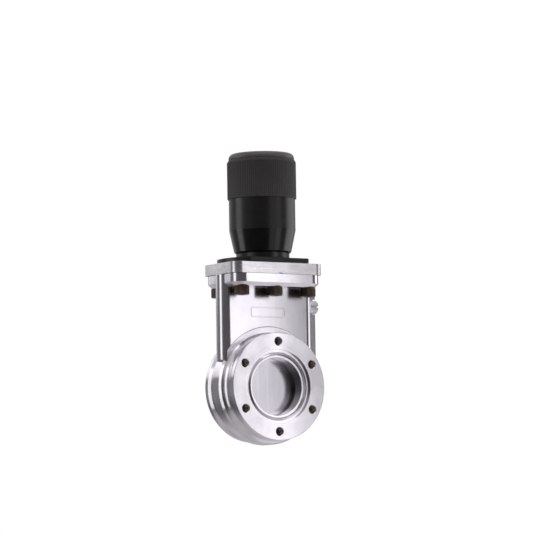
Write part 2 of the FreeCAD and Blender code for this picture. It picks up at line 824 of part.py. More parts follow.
# fixed actuator tube with two guide slots
body = new_body("actuator_tube")
sketch = new_sketch(body, "TubeProfile", "XZ_Plane")
foot_r = s["tube_foot_r"]
outline(sketch, [
    (s["tube_bore_r"], s["base_top"]), (foot_r - 0.5, s["base_top"]),
    (foot_r, s["base_top"] + 0.5), (foot_r, s["tube_foot_top"]),
    (s["tube_r"], s["tube_foot_top"]), (s["tube_r"], s["tube_top"]),
    (s["tube_bore_r"], s["tube_top"]),
])
revolve(body, "Revolution", "TubeWall", sketch)
sketch = new_sketch(body, "TubeSlots", "YZ_Plane")
half_slot = s["guide_slot_w"] * 0.5
outline(sketch, [(-half_slot, s["guide_slot_low"]), (half_slot, s["guide_slot_low"]),
                 (half_slot, s["guide_slot_high"]), (-half_slot, s["guide_slot_high"])])
extrude(body, "Pocket", "TubeSlotCut", sketch, s["tube_r"] * 2 + 4.0, symmetric=True)
sketch = new_sketch(body, "TubeTaps", "XY_Plane", s["tube_top"])
four_holes(sketch, s["carrier_screw_xy"], s["carrier_screw_xy"], s["carrier_screw_r"] + 0.02)
extrude(body, "Pocket", "TubeTap", sketch, s["carrier_screw_len"])

# bearing carrier on top of the tube
body = new_body("bearing_carrier")
sketch = new_sketch(body, "CarrierProfile", "XZ_Plane")
seat = s["tube_top"] + s["carrier_lip_t"]
clip_low = seat + s["bearing_w"] + 0.02
outline(sketch, [
    (s["carrier_lip_r"], s["tube_top"]), (s["tube_r"], s["tube_top"]),
    (s["tube_r"], s["carrier_top"]), (s["bearing_outer_r"] + 0.02, s["carrier_top"]),
    (s["bearing_outer_r"] + 0.02, clip_low + s["clip_t"] + 0.04),
    (s["clip_r"] + 0.05, clip_low + s["clip_t"] + 0.04), (s["clip_r"] + 0.05, clip_low),
    (s["bearing_outer_r"] + 0.02, clip_low), (s["bearing_outer_r"] + 0.02, seat),
    (s["carrier_lip_r"], seat),
])
revolve(body, "Revolution", "CarrierDisc", sketch)
for label, radius, depth in (
        ("Shank", s["carrier_screw_r"] + 0.15, as_size(8.0)),
        ("Head", s["carrier_head_r"] + 0.05, s["carrier_head_h"] + 0.1)):
    sketch = new_sketch(body, "Carrier%sHoles" % label, "XY_Plane", s["carrier_top"])
    four_holes(sketch, s["carrier_screw_xy"], s["carrier_screw_xy"], radius)
    extrude(body, "Pocket", "Carrier%sCut" % label, sketch, depth)
screw_group("carrier_screws", "Carrier", s["carrier_screw_xy"], s["carrier_screw_xy"],
            s["carrier_top"] - s["carrier_head_h"] - 0.1, s["carrier_head_r"],
            s["carrier_head_h"], s["carrier_screw_r"], s["carrier_screw_len"],
            as_size(1.5), as_size(0.8))

race = s["bearing_inner_out"] * 0.5 + s["bearing_outer_in"] * 0.5
race_z = seat + s["bearing_w"] * 0.5


def race_ring(node, r_in, r_out):
    """Bearing ring with a round race turned into one side."""
    body = turned(node, ring_corners(r_in, r_out, seat, seat + s["bearing_w"]))
    sketch = new_sketch(body, "Race_" + node, "XZ_Plane")
    ring_circle(sketch, race, race_z, s["race_r"])
    revolve(body, "Groove", "RaceCut_" + node, sketch)


race_ring("bearing_outer_ring", s["bearing_outer_in"], s["bearing_outer_r"])
race_ring("bearing_inner_ring", s["bearing_inner_in"], s["bearing_inner_out"])
balls = []
for index in range(BEARING_BALL_COUNT):
    turn = 2 * math.pi * index / BEARING_BALL_COUNT
    balls.append(sphere("BearingBall%d" % index, s["bearing_ball_r"],
                        race * math.cos(turn), race * math.sin(turn), race_z))
group("bearing_balls", balls)

# retaining ring: open clip above the bearing
body = new_body("retaining_ring")
sketch = new_sketch(body, "ClipProfile", "XZ_Plane")
outline(sketch, ring_corners(s["clip_in"], s["clip_r"], clip_low + 0.02,
                             clip_low + 0.02 + s["clip_t"]))
revolve(body, "Revolution", "Clip", sketch)
sketch = new_sketch(body, "ClipGap", "XY_Plane", clip_low)
outline(sketch, [(-1.6, 4.0), (1.6, 4.0), (1.6, 9.0), (-1.6, 9.0)])
extrude(body, "Pocket", "ClipGapCut", sketch, as_size(2.0), reverse=True)


# ================================================================ turning pieces

body = new_body("handwheel_shell")
sketch = new_sketch(body, "ShellProfile", "XZ_Plane")
low, bottom_r = s["hw_bottom"], s["hw_bottom_r"]
outline(sketch, [
    (s["hw_bore_r"], low), (bottom_r - 0.7, low), (bottom_r, low + 0.7),
    (s["hw_r"], s["hw_cone_top"]), (s["hw_r"], s["grip_bottom"]),
    (s["grip_seat_r"], s["grip_bottom"]), (s["grip_seat_r"], s["web_top"]),
    (s["hub_bore_r"], s["web_top"]), (s["hub_bore_r"], s["web_bottom"]),
    (s["hw_bore_r"], s["web_bottom"]),
])
revolve(body, "Revolution", "ShellTurn", sketch)
sketch = new_sketch(body, "ShellKeyway", "XY_Plane", s["web_bottom"])
half_key = s["key_w"] * 0.5 + 0.02
outline(sketch, [(2.0, -half_key), (s["key_out_x"] + 0.02, -half_key),
                 (s["key_out_x"] + 0.02, half_key), (2.0, half_key)])
extrude(body, "Pocket", "ShellKeywayCut", sketch, as_size(4.0), reverse=True)

sleeve_low = s["grip_bottom"] + 0.02
sleeve_in = s["grip_seat_r"] + 0.02
turned("grip_sleeve", [
    (sleeve_in, sleeve_low), (s["grip_r"] - 0.5, sleeve_low), (s["grip_r"], sleeve_low + 0.5),
    (s["grip_r"], s["grip_bevel_z"]), (s["grip_top_r"], s["grip_top"]),
    (sleeve_in, s["grip_top"]),
])

cap_side = s["cap_top"] - s["cap_round"]
turned("handwheel_cap", [
    (0.0, s["cap_cavity_top"]), (s["cap_cavity_r"], s["cap_cavity_top"]),
    (s["cap_cavity_r"], s["web_top"] + 0.02), (s["cap_spigot_r"], s["web_top"] + 0.02),
    (s["cap_spigot_r"], s["cap_bottom"]), (s["cap_r"], s["cap_bottom"]),
    (s["cap_r"], cap_side, s["cap_round"], 1), (s["cap_r"] - s["cap_round"], s["cap_top"]),
    (0.0, s["cap_top"]),
])

# lead screw, held by its collar under the bearing and by the nut above the web
body = new_body("lead_screw")
sketch = new_sketch(body, "LeadProfile", "XZ_Plane")
lead = s["lead_r"]
outline(sketch, [
    (0.0, s["lead_tip"]), (lead - 0.6, s["lead_tip"]), (lead, s["lead_tip"] + 0.6),
    (lead, s["thrust_bottom"]), (s["thrust_r"], s["thrust_bottom"]), (s["thrust_r"], seat),
    (s["journal_r"], seat), (s["journal_r"], s["web_top"]), (s["stud_r"], s["web_top"]),
    (s["stud_r"], s["stud_top"]), (0.0, s["stud_top"]),
])
revolve(body, "Revolution", "LeadTurn", sketch)
sketch = new_sketch(body, "LeadKeyway", "XY_Plane", s["web_bottom"])
outline(sketch, [(2.9, -half_key), (6.0, -half_key), (6.0, half_key), (2.9, half_key)])
extrude(body, "Pocket", "LeadKeywayCut", sketch, s["web_top"] - s["web_bottom"], reverse=True)

keep(block("KeyBlock",
           (2.95, s["key_w"] * -0.5, s["web_bottom"] + 0.1),
           (s["key_out_x"], s["key_w"] * 0.5, s["web_top"] - 0.1)), "drive_key")
turned("lock_washer", ring_corners(s["stud_r"] + 0.1, s["washer_r"], s["web_top"] + 0.02,
                                   s["web_top"] + 0.02 + s["washer_t"]))
lock_nut_z = s["web_top"] + 0.04 + s["washer_t"]
keep(cut("LockNutSolid", hexagon("LockNutHex", s["nut_af"], s["nut_h"], z=lock_nut_z),
         cylinder("LockNutBore", s["stud_r"] + 0.02, s["nut_h"] + 2.0, z=lock_nut_z - 1.0)),
     "lock_nut")


# ================================================================ sliding pieces

body = new_body("stem")
sketch = new_sketch(body, "StemProfile", "XZ_Plane")
outline(sketch, [
    (0.0, s["stem_bottom"]), (s["stem_r"], s["stem_bottom"]),
    (s["stem_r"], s["stem_shoulder"]), (s["stem_head_r"], s["stem_shoulder"]),
    (s["stem_head_r"], s["stem_top"]), (s["nut_seat_r"], s["stem_top"]),
    (s["nut_seat_r"], s["nut_seat_z"]), (s["stem_bore_r"], s["nut_seat_z"]),
    (s["stem_bore_r"], s["stem_bore_bottom"]), (0.0, s["stem_bore_bottom"]),
])
revolve(body, "Revolution", "StemTurn", sketch)
sketch = new_sketch(body, "StemFork", "YZ_Plane")
half_fork = s["tongue_half_t"] + s["fork_gap"]
outline(sketch, [(-half_fork, s["stem_bottom"] - 1.0), (half_fork, s["stem_bottom"] - 1.0),
                 (half_fork, s["fork_slot_top"]), (-half_fork, s["fork_slot_top"])])
extrude(body, "Pocket", "StemForkCut", sketch, s["stem_r"] * 2 + 2.0, symmetric=True)
sketch = new_sketch(body, "StemPinHole", "XZ_Plane")
ring_circle(sketch, 0.0, s["cross_pin_z"], s["cross_pin_r"] + 0.02)
extrude(body, "Pocket", "StemPinBore", sketch, s["stem_r"] * 2 + 2.0, symmetric=True)

body = turned("travelling_nut", [
    (s["nut_bore_r"], s["nut_seat_z"] + 0.1), (s["nut_body_r"], s["nut_seat_z"] + 0.1),
    (s["nut_body_r"], s["stem_top"]), (s["nut_flange_r"], s["stem_top"]),
    (s["nut_flange_r"], s["nut_top"]), (s["nut_bore_r"], s["nut_top"]),
])
sketch = new_sketch(body, "NutPinHoles", "YZ_Plane")
ring_circle(sketch, 0.0, s["guide_pin_z"], s["guide_pin_r"] + 0.02)
extrude(body, "Pocket", "NutPinBore", sketch, as_size(30.0), symmetric=True)

pins = []
for label, start in (("Right", s["guide_pin_in"]), ("Left", -s["guide_pin_out"])):
    pins.append(cylinder("GuidePin" + label, s["guide_pin_r"],
                         s["guide_pin_out"] - s["guide_pin_in"],
                         start, 0.0, s["guide_pin_z"], V(0, 1, 0), 90))
group("guide_pins", pins)

turned("bellows_upper_collar", ring_corners(
    s["stem_head_r"] + 0.02, s["bellows_out"], s["upper_collar_z"],
    s["upper_collar_z"] + s["collar_t"]))


def make_bellows():
    """Edge-welded bellows: thin sheets joined in turn at their inner and outer edges."""
    low = SIZES["bush_top"] + SIZES["collar_t"] + 0.02
    high = SIZES["upper_collar_z"] - 0.02
    r_in, r_out = SIZES["bellows_in"], SIZES["bellows_out"]
    step = (high - low) / (2 * BELLOWS_FOLDS)
    weld = SIZES["bellows_weld"]
    outside, inside = [], []
    for index in range(2 * BELLOWS_FOLDS + 1):
        z = low + index * step
        valley = index % 2 == 0
        outside.append(V(r_in + weld if valley else r_out, 0, z))
        inside.append(V(r_in if valley else r_out - weld, 0, z))
    inside.reverse()
    face = Part.Face(Part.makePolygon(outside + inside + [outside[0]]))
    shape = face.revolve(V(0, 0, 0), V(0, 0, 1), 360)
    item = doc.addObject("Part::Feature", "BellowsShape")
    item.Shape = shape
    item.Placement = FreeCAD.Placement()
    keep(item, "bellows")


make_bellows()

# gate carriage: round plate with a tongue for the stem and an ear on each side
body = new_body("gate_carriage")
half_t = s["tongue_half_t"]
sketch = new_sketch(body, "CarriageDisc", "XZ_Plane")
ring_circle(sketch, 0.0, 0.0, s["carriage_r"])
extrude(body, "Pad", "CarriagePlate", sketch, half_t * 2, symmetric=True)
sketch = new_sketch(body, "CarriageTongue", "XZ_Plane")
outline(sketch, [(-s["tongue_half_w"], 10.0), (s["tongue_half_w"], 10.0),
                 (s["tongue_half_w"], s["tongue_top"]), (-s["tongue_half_w"], s["tongue_top"])])
extrude(body, "Pad", "TonguePlate", sketch, half_t * 2, symmetric=True)
sketch = new_sketch(body, "CarriageEars", "XZ_Plane")
outline(sketch, [(-s["ear_x"], s["ear_low"]), (s["ear_x"], s["ear_low"]),
                 (s["ear_x"], s["ear_high"]), (-s["ear_x"], s["ear_high"])])
extrude(body, "Pad", "EarPlate", sketch, half_t * 2, symmetric=True)
sketch = new_sketch(body, "CarriageHoles", "XZ_Plane")
ring_circle(sketch, 0.0, s["cross_pin_z"], s["cross_pin_r"] + 0.02)
for x_side in (-1.0, 1.0):
    for z_side in (-1.0, 1.0):
        ring_circle(sketch, s["ball_x"] * x_side, s["ball_z"] * z_side, s["ball_hole_r"])
for z_side in (-1.0, 1.0):
    ring_circle(sketch, 0.0, s["rivet_z"] * z_side, s["rivet_r"] + 0.02)
extrude(body, "Pocket", "CarriageBores", sketch, half_t * 4, symmetric=True)

keep(cylinder("CrossPin", s["cross_pin_r"], as_size(7.6), 0.0, 3.8, s["cross_pin_z"],
              V(1, 0, 0), 90), "cross_pin")

balls = []
for x_side in (-1.0, 1.0):
    for z_side in (-1.0, 1.0):
        balls.append(sphere("LockBall%d%d" % (x_side + 2, z_side + 2), s["lock_ball_r"],
                            s["ball_x"] * x_side, 0.0, s["ball_z"] * z_side))
group("lock_balls", balls)

# flat springs riveted to both faces of the carriage
springs = []
for label, sign in (("Front", -1.0), ("Rear", 1.0)):
    inner, outer = half_t * sign, (half_t + s["spring_t"]) * sign
    low_y, high_y = (inner, outer) if sign > 0 else (outer, inner)
    strip = block("SpringStrip" + label, (-s["spring_half_w"], low_y, s["spring_len"] * -0.5),
                  (s["spring_half_w"], high_y, s["spring_len"] * 0.5))
    holes = [cylinder("SpringHole%s%d" % (label, z_side + 2), s["rivet_r"] + 0.02, as_size(8.0),
                      0.0, 4.0, s["rivet_z"] * z_side, V(1, 0, 0), 90)
             for z_side in (-1.0, 1.0)]
    springs.append(cut("Spring" + label, strip, fuse("SpringHoles" + label, holes)))
group("leaf_springs", springs)

rivets = []
stack = half_t + s["spring_t"]
for z_side in (-1.0, 1.0):
    tag = "Rivet%d" % (z_side + 2)
    shank = cylinder(tag + "Shank", s["rivet_r"], stack * 2, 0.0, stack, s["rivet_z"] * z_side,
                     V(1, 0, 0), 90)
    front = cylinder(tag + "Front", s["rivet_head_r"], s["rivet_head_t"], 0.0, -stack,
                     s["rivet_z"] * z_side, V(1, 0, 0), 90)
    rear = cylinder(tag + "Rear", s["rivet_head_r"], s["rivet_head_t"], 0.0,
                    stack + s["rivet_head_t"], s["rivet_z"] * z_side, V(1, 0, 0), 90)
    rivets.append(fuse(tag + "Solid", [shank, front, rear]))
group("spring_rivets", rivets)

# guide pads pushed over the ears
pads = []
for label, sign in (("Right", 1.0), ("Left", -1.0)):
    near, far = (s["ear_x"] - 1.4) * sign, s["pad_x"] * sign
    low_x, high_x = (near, far) if sign > 0 else (far, near)
    solid = block("GuidePad" + label, (low_x, -s["pad_half_t"], s["pad_low"]),
                  (high_x, s["pad_half_t"], s["pad_high"]))
    slot_end = (s["ear_x"] + 0.02) * sign
    slot_start = (s["ear_x"] - 4.0) * sign
    low_s, high_s = (slot_start, slot_end) if sign > 0 else (slot_end, slot_start)
    slot = block("GuidePadSlot" + label, (low_s, -half_t - 0.02, s["ear_low"] - 0.02),
                 (high_s, half_t + 0.02, s["ear_high"] + 0.02))
    pads.append(cut("GuidePadCut" + label, solid, slot))
group("guide_pads", pads)


# ================================================================ clamping pieces

def clamp_plate(node, sign, profile):
    """Round plate facing one seat, with ball ramps and a spring relief in its inner face."""
    body = new_body(node)
    sketch = new_sketch(body, "Profile_" + node, "XY_Plane")
    outline(sketch, [(r_, y_ * sign) for r_, y_ in profile])
    revolve(body, "Revolution", "Turn_" + node, sketch)
    travel_y, travel_z = s["lock_travel_y"], s["lock_travel_z"]
    tilt = math.degrees(math.atan2(travel_y.value * sign, travel_z.value))
    length = math.hypot(travel_y.value, travel_z.value)
    tools = []
    for x_side in (-1.0, 1.0):
        for z_side in (-1.0, 1.0):
            tag = "%s%d%d" % (node, x_side + 2, z_side + 2)
            x, z = s["ball_x"] * x_side, s["ball_z"] * z_side
            tools.append(sphere("RampLow_" + tag, s["ramp_r"], x, 0.0, z))
            tools.append(sphere("RampEnd_" + tag, s["ramp_r"], x, travel_y * sign, z + travel_z))
            tools.append(cylinder("Ramp_" + tag, s["ramp_r"], as_size(length), x, 0.0, z,
                                  V(1, 0, 0), -tilt))
    deep = s["plate_in_y"] + s["relief_depth"]
    low_y, high_y = (as_size(0.0), deep) if sign > 0 else (-deep, as_size(0.0))
    half_len = s["spring_len"] * 0.5 + 0.4
    tools.append(block("Relief_" + node, (-s["relief_half_w"], low_y, -half_len),
                       (s["relief_half_w"], high_y, half_len + travel_z)))
    part = cut("Ramped_" + node, body, fuse("Ramps_" + node, tools))
    body.Label = node + "_blank"
    keep(part, node)


groove_half = s["seal_section_r"] - 0.05
clamp_plate("seal_plate", -1.0, [
    (0.0, s["plate_in_y"]), (s["plate_r"], s["plate_in_y"]),
    (s["plate_r"], s["plate_out_y"] - 0.3), (s["plate_r"] - 0.3, s["plate_out_y"]),
    (s["seal_r"] + groove_half, s["plate_out_y"]),
    (s["seal_r"] + groove_half, s["seal_y"] - groove_half),
    (s["seal_r"] - groove_half, s["seal_y"] - groove_half),
    (s["seal_r"] - groove_half, s["plate_out_y"]),
    (0.0, s["plate_out_y"]),
])
clamp_plate("counter_plate", 1.0, [
    (0.0, s["plate_in_y"]), (s["plate_r"], s["plate_in_y"]),
    (s["plate_r"], s["seat_rim_y"]), (s["seal_r"] - groove_half, s["seat_rim_y"]),
    (s["seal_r"] - groove_half - 0.6, s["plate_out_y"]), (0.0, s["plate_out_y"]),
])

# sealing ring set in the front plate
seal = doc.addObject("Part::Torus", "GateSeal")
bind(seal, "Radius1", s["seal_r"])
bind(seal, "Radius2", s["seal_section_r"] - 0.06)
place(seal, 0.0, -s["seal_y"], 0.0, V(1, 0, 0), 90)
keep(seal, "gate_seal")

# ================================================================ checks and export

doc.recompute()
for item in doc.Objects:
    for word in ("Invalid", "Error"):
        if word in item.State:
            raise RuntimeError("%s is %s" % (item.Name, item.State))

os.makedirs("parts", exist_ok=True)
for node, item in parts.items():
    shape = item.Shape
    if shape.isNull() or not shape.isValid():
        raise RuntimeError("bad shape: " + node)
    shape.exportStep("parts/%s.step" % node)
    box = shape.BoundBox
    print("%-22s solids %d  vol %10.2f  x %.2f..%.2f y %.2f..%.2f z %.2f..%.2f" % (
        node, len(shape.Solids), shape.Volume, box.XMin, box.XMax, box.YMin, box.YMax,
        box.ZMin, box.ZMax))
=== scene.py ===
import bmesh
import bpy
import math
from mathutils import Matrix, Vector


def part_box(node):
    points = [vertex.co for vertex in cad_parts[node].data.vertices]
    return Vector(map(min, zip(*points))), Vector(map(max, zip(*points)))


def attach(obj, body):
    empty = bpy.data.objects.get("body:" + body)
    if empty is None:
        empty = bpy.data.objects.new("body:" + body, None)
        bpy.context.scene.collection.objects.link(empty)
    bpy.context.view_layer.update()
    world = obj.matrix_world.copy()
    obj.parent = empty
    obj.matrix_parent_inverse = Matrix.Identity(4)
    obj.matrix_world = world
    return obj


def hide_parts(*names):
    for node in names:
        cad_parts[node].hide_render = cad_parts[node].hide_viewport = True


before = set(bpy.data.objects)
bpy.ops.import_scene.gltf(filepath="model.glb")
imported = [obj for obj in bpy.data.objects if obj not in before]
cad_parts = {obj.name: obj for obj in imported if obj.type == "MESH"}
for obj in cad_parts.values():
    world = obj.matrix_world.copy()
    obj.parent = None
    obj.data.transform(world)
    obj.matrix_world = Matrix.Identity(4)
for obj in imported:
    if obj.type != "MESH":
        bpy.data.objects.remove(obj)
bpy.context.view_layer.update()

MM = 0.001

# Places in the CAD model that the finishes and the painted shade in the tapped holes follow
CONE_TOP = 102.6 * MM
HOLE_CIRCLE = 29.35 * MM
plug_low, plug_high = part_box("purge_plug")
PLUG_Z = (plug_low.z + plug_high.z) / 2

# Soft borders of the finishes and of the painted shade (in the tapped holes and at the seat) on
# the housing: where each one begins and where it is full.
# Z is the height above the bore's axis, Y the distance from the middle plane and R the
# distance from the bore's axis, or from a hole's own axis in HOLE_WITHIN_R.
NECK_FROM_R = (39.6 * MM, 39.8 * MM)
NECK_WITHIN_Y = (7.4 * MM, 7.0 * MM)
PLATE_FROM_Z = (64.5 * MM, 65.2 * MM)
FACE_FROM_Y = (17.1 * MM, 17.35 * MM)
BORE_WITHIN_R = (19.8 * MM, 19.4 * MM)
HOLE_WITHIN_R = (3.3 * MM, 3.0 * MM)
HOLE_WITHIN_Y = (17.45 * MM, 17.0 * MM)
# The SEAT_ borders place painted shade where the gate meets the bore
SEAT_WITHIN_Y = (7.8 * MM, 6.6 * MM)
SEAT_FULL_Z = (13.0 * MM, -2.0 * MM)
SEAT_LEAST = 0.3


def rgb(r, g, b):
    """sRGB 0..255 to the linear colour a shader takes."""
    def linear(v):
        v = v / 255
        return v / 12.92 if v <= 0.04045 else ((v + 0.055) / 1.055) ** 2.4
    return (linear(r), linear(g), linear(b), 1.0)


def lighter(shade, factor):
    return tuple(value * factor for value in shade[:3]) + (1.0,)


# ---------------------------------------------------------------- node trees

class Nodes:
    """Short calls for the nodes of one tree, which starts empty."""

    def __init__(self, tree):
        self.tree = tree
        tree.nodes.clear()

    def add(self, kind, **settings):
        node = self.tree.nodes.new("ShaderNode" + kind)
        for key, value in settings.items():
            setattr(node, key, value)
        return node

    def link(self, source, target):
        self.tree.links.new(source, target)

    def feed(self, socket, value):
        """Link a socket, or set a constant."""
        if isinstance(value, bpy.types.NodeSocket):
            self.link(value, socket)
        else:
            socket.default_value = value

    def math(self, operation, *values):
        node = self.add("Math", operation=operation)
        for socket, value in zip(node.inputs, values):
            self.feed(socket, value)
        return node.outputs[0]

    def length(self, a, b):
        """Distance from an axis, out of the two coordinates across it."""
        squares = [self.math("MULTIPLY", value, value) for value in (a, b)]
        return self.math("SQRT", self.math("ADD", *squares))

    def split(self, vector):
        node = self.add("SeparateXYZ")
        self.link(vector, node.inputs[0])
        return node.outputs

    def step(self, value, start, end):
        """Smooth ramp from 0 at start to 1 at end."""
        node = self.add("MapRange", interpolation_type="SMOOTHSTEP")
        node.inputs["From Min"].default_value = start
        node.inputs["From Max"].default_value = end
        self.link(value, node.inputs["Value"])
        return node.outputs["Result"]

    def mix(self, data_type, socket_type, factor, first, second):
        """First at factor 0, second at factor 1."""
        node = self.add("Mix", data_type=data_type)
        self.feed(node.inputs["Factor"], factor)
        ends = [item for item in node.inputs if item.type == socket_type and item.name in "AB"]
        self.feed(ends[0], first)
        self.feed(ends[1], second)
        return next(item for item in node.outputs if item.type == socket_type)

    def blend(self, factor, first, second):
        """Mix of two numbers."""
        return self.mix("FLOAT", "VALUE", factor, first, second)

    def tint(self, factor, first, second):
        """Mix of two colours."""
        return self.mix("RGBA", "RGBA", factor, first, second)

    def turn(self, factor, first, second):
        """Mix of two vectors."""
        return self.mix("VECTOR", "VECTOR", factor, first, second)


class Shader(Nodes):
    """A material. Coordinates are the object's own, in metres; noise cells are per metre."""

    SOCKETS = {"color": "Base Color", "metallic": "Metallic", "rough": "Roughness",
               "normal": "Normal", "specular": "Specular IOR Level", "tangent": "Tangent",
               "anisotropic": "Anisotropic", "rotation": "Anisotropic Rotation"}
    NOISE_LOW = 0.3
    NOISE_HIGH = 0.7

    def __init__(self, name):
        self.material = bpy.data.materials.new(name)
        self.material.use_nodes = True
        super().__init__(self.material.node_tree)
        self.surface = self.add("BsdfPrincipled")
        self.output = self.add("OutputMaterial")
        self.link(self.surface.outputs["BSDF"], self.output.inputs["Surface"])
        self.coords = self.add("TexCoord").outputs["Object"]

    def join(self, x, y, z):
        node = self.add("CombineXYZ")
        for socket, value in zip(node.inputs, (x, y, z)):
            self.feed(socket, value)
        return node.outputs[0]

    def stretched(self, cells):
        """Coordinates in noise cells, with a number of cells for each axis."""
        node = self.add("Mapping")
        node.inputs["Scale"].default_value = cells
        self.link(self.coords, node.inputs["Vector"])
        return node.outputs[0]

    def noise(self, vector, cells=1.0, detail=4.0, roughness=0.55):
        node = self.add("TexNoise")
        self.link(vector, node.inputs["Vector"])
        node.inputs["Scale"].default_value = cells
        node.inputs["Detail"].default_value = detail
        node.inputs["Roughness"].default_value = roughness
        return node.outputs["Fac"]

    def rings(self, radius, along, cells, detail=3.0):
        """Noise that is even all around an axis, as a lathe leaves it."""
        scaled = [self.math("MULTIPLY", value, cells) for value in (radius, along)]
        return self.noise(self.join(*scaled, 0.0), detail=detail)

    def spread(self, noise, low, high):
        """Map the usual range of a noise to low..high."""
        node = self.add("MapRange")
        node.inputs["From Min"].default_value = self.NOISE_LOW
        node.inputs["From Max"].default_value = self.NOISE_HIGH
        node.inputs["To Min"].default_value = low
        node.inputs["To Max"].default_value = high
        self.link(noise, node.inputs["Value"])
        return node.outputs["Result"]

    def bump(self, height, distance, strength, normal):
        node = self.add("Bump")
        node.inputs["Distance"].default_value = distance
        node.inputs["Strength"].default_value = strength
        self.link(height, node.inputs["Height"])
        self.link(normal, node.inputs["Normal"])
        return node.outputs["Normal"]

    def bevel(self, radius):
        node = self.add("Bevel", samples=4)
        node.inputs["Radius"].default_value = radius
        return node.outputs["Normal"]

    def tangent(self, axis):
        """Direction around an axis."""
        return self.add("Tangent", direction_type="RADIAL", axis=axis).outputs[0]

    def set(self, **values):
        for key, value in values.items():
            self.feed(self.surface.inputs[self.SOCKETS[key]], value)
        return self.material


def dress(material, *nodes):
    """Give CAD nodes a material on every slot."""
    for node in nodes:
        obj = bpy.data.objects[node]
        if not obj.material_slots:
            obj.data.materials.append(material)
        for slot in obj.material_slots:
            slot.link = "OBJECT"
            slot.material = material


# ---------------------------------------------------------------- materials

STEEL_LIGHT = rgb(226, 223, 229)
STEEL_DEEP = rgb(204, 200, 206)
NECK_TONE = rgb(204, 201, 207)
NECK_SHARE = 0.5
# The next two tones are painted shade, in the tapped holes and where the gate meets the bore
HOLE_SHADE_TONE = rgb(182, 176, 174)
SEAT_SHADE_TONE = rgb(84, 82, 80)
BARREL_TONE = rgb(19, 18, 18)

TURNING_CELLS = 2600.0
MILLING_CELLS = (420.0, 420.0, 70.0)
BRUSHING_CELLS = (45.0, 300.0, 2600.0)


def hole_mask(m, x, z, radius):
    """One inside the six tapped holes, which lie every 60 degrees from the top."""
    sixth = math.pi / 3
    turn = m.math("WRAP", m.math("ARCTAN2", x, z), sixth / 2, -sixth / 2)
    square = m.math("ADD", m.math("MULTIPLY", radius, radius), HOLE_CIRCLE ** 2)
    reach = m.math("MULTIPLY", m.math("MULTIPLY", radius, 2 * HOLE_CIRCLE), m.math("COSINE", turn))
    distance = m.math("SQRT", m.math("ABSOLUTE", m.math("SUBTRACT", square, reach)))
    return m.step(distance, *HOLE_WITHIN_R)


def housing_steel():
    """Turned below, milled on the neck, straight brushed on the body plate, with painted shade in
    the tapped holes and where the gate meets the bore.
    """
    m = Shader("housing_steel")
    x, y, z = m.split(m.coords)
    radius = m.length(x, z)
    depth = m.math("ABSOLUTE", y)
    on_neck = m.math("MULTIPLY", m.step(radius, *NECK_FROM_R), m.step(depth, *NECK_WITHIN_Y))
    on_plate = m.step(z, *PLATE_FROM_Z)
    on_face = m.step(depth, *FACE_FROM_Y)
    in_bore = m.step(radius, *BORE_WITHIN_R)
    hole_shade = m.math("MULTIPLY", hole_mask(m, x, z, radius), m.step(depth, *HOLE_WITHIN_Y))

    turning = m.rings(radius, y, TURNING_CELLS)
    milling = m.noise(m.stretched(MILLING_CELLS), detail=5.0)
    brushing = m.noise(m.stretched(BRUSHING_CELLS))
    peel = m.noise(m.coords, 900.0, 5.0)
    wear = m.noise(m.coords, 55.0, 6.0, 0.6)
    smudge = m.noise(m.coords, 24.0, 3.0)

    def by_area(turned, milled, brushed):
        return m.blend(on_plate, m.blend(on_neck, turned, milled), brushed)

    turned = m.blend(on_face, m.spread(turning, 0.15, 0.23), m.spread(turning, 0.19, 0.24))
    rough = by_area(turned, m.spread(milling, 0.16, 0.2), m.spread(brushing, 0.13, 0.2))
    rough = m.math("ADD", rough, m.spread(smudge, -0.01, 0.03))
    rough = m.blend(in_bore, rough, m.spread(turning, 0.13, 0.18))

    # Painted shade: darkest where the gate meets the bore, and weakening to SEAT_LEAST upwards
    seat_shade = m.math("MULTIPLY", in_bore, m.step(depth, *SEAT_WITHIN_Y))
    seat_shade = m.math("MULTIPLY", seat_shade, m.blend(m.step(z, *SEAT_FULL_Z), SEAT_LEAST, 1.0))
    color = m.tint(m.spread(wear, 0.0, 1.0), STEEL_LIGHT, STEEL_DEEP)
    color = m.tint(m.math("MULTIPLY", on_neck, NECK_SHARE), color, NECK_TONE)
    # Painted shade darkens the inside of the tapped holes
    color = m.tint(hole_shade, color, HOLE_SHADE_TONE)
    color = m.tint(seat_shade, color, SEAT_SHADE_TONE)

    marks = by_area(turning, milling, brushing)
    normal = m.bump(marks, 0.012 * MM, 0.5, m.bevel(0.25 * MM))
    normal = m.bump(peel, 0.004 * MM, 0.4, normal)
    straight = m.math("MAXIMUM", on_neck, on_plate)
    tangent = m.turn(straight, m.tangent("Y"), m.tangent("Z"))
    return m.set(color=color, metallic=1.0, rough=rough, normal=normal, tangent=tangent,
                 anisotropic=0.75, rotation=0.25)


def brushed_steel(name, along, light, deep, rough=(0.2, 0.34)):
    """Straight brushing along X or Z."""
    m = Shader(name)
    cells = {"X": (45.0, 900.0, 2600.0), "Z": (2600.0, 2600.0, 45.0)}[along]
    lines = m.noise(m.stretched(cells))
    patches = m.noise(m.stretched([value * 0.12 for value in cells]))
    wear = m.noise(m.coords, 70.0, 5.0, 0.6)
    color = m.tint(m.spread(wear, 0.0, 1.0), light, deep)
    roughness = m.math("ADD", m.spread(lines, *rough), m.spread(patches, -0.03, 0.05))
    normal = m.bump(lines, 0.014 * MM, 0.55, m.bevel(0.25 * MM))
    return m.set(color=color, metallic=1.0, rough=roughness, normal=normal)


